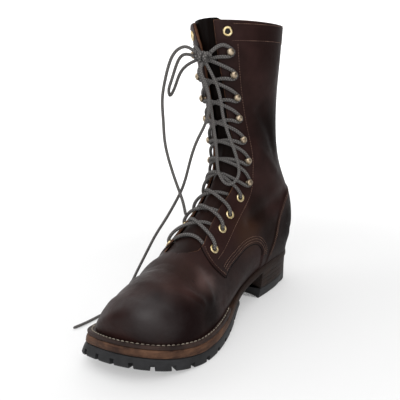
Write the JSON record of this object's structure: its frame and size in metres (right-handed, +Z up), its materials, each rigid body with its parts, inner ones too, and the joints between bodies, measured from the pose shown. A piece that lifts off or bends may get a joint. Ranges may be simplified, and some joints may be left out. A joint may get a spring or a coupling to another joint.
{
  "type": "work boot",
  "caption": "Tall lace-up leather work boot for the right foot, with speed hooks up the shaft, a welted lugged half sole and a stacked heel.",
  "frame": {"origin": "middle of the boot's box on the ground, free lace runs left out", "axes": "+Y from the toe towards the heel, +X to the inner side of the foot, +Z up"},
  "size_m": [0.1764, 0.308, 0.31],
  "materials": {
    "upper_leather": "oiled, worn to a low sheen",
    "tongue_leather": "matt",
    "insole_leather": "matt",
    "sole_leather": "matt cut edge",
    "welt_leather": "matt",
    "heel_leather": "matt cut edge",
    "sole_rubber": "matt",
    "brass": "worn satin",
    "lace_cord": "braided, matt"
  },
  "bodies": {
    "root": {"upper": "upper_leather", "tongue": "tongue_leather", "insole": "insole_leather", "midsole": "sole_leather", "welt": "welt_leather", "outsole": "sole_rubber", "heel_stack": "heel_leather", "heel_lift": "sole_rubber", "eyelet_medial_1": "brass", "eyelet_medial_2": "brass", "eyelet_medial_3": "brass", "eyelet_medial_4": "brass", "eyelet_medial_12": "brass", "eyelet_lateral_1": "brass", "eyelet_lateral_2": "brass", "eyelet_lateral_3": "brass", "eyelet_lateral_4": "brass", "eyelet_lateral_12": "brass", "hook_medial_5": "brass", "hook_medial_6": "brass", "hook_medial_7": "brass", "hook_medial_8": "brass", "hook_medial_9": "brass", "hook_medial_10": "brass", "hook_medial_11": "brass", "hook_lateral_5": "brass", "hook_lateral_6": "brass", "hook_lateral_7": "brass", "hook_lateral_8": "brass", "hook_lateral_9": "brass", "hook_lateral_10": "brass", "hook_lateral_11": "brass", "lace_crossings": "lace_cord", "lace_knot": "lace_cord", "lace_loop_front": "lace_cord", "lace_loop_side": "lace_cord", "lace_end_hanging": "lace_cord", "lace_end_floor": "lace_cord"}
  },
  "joints": []
}
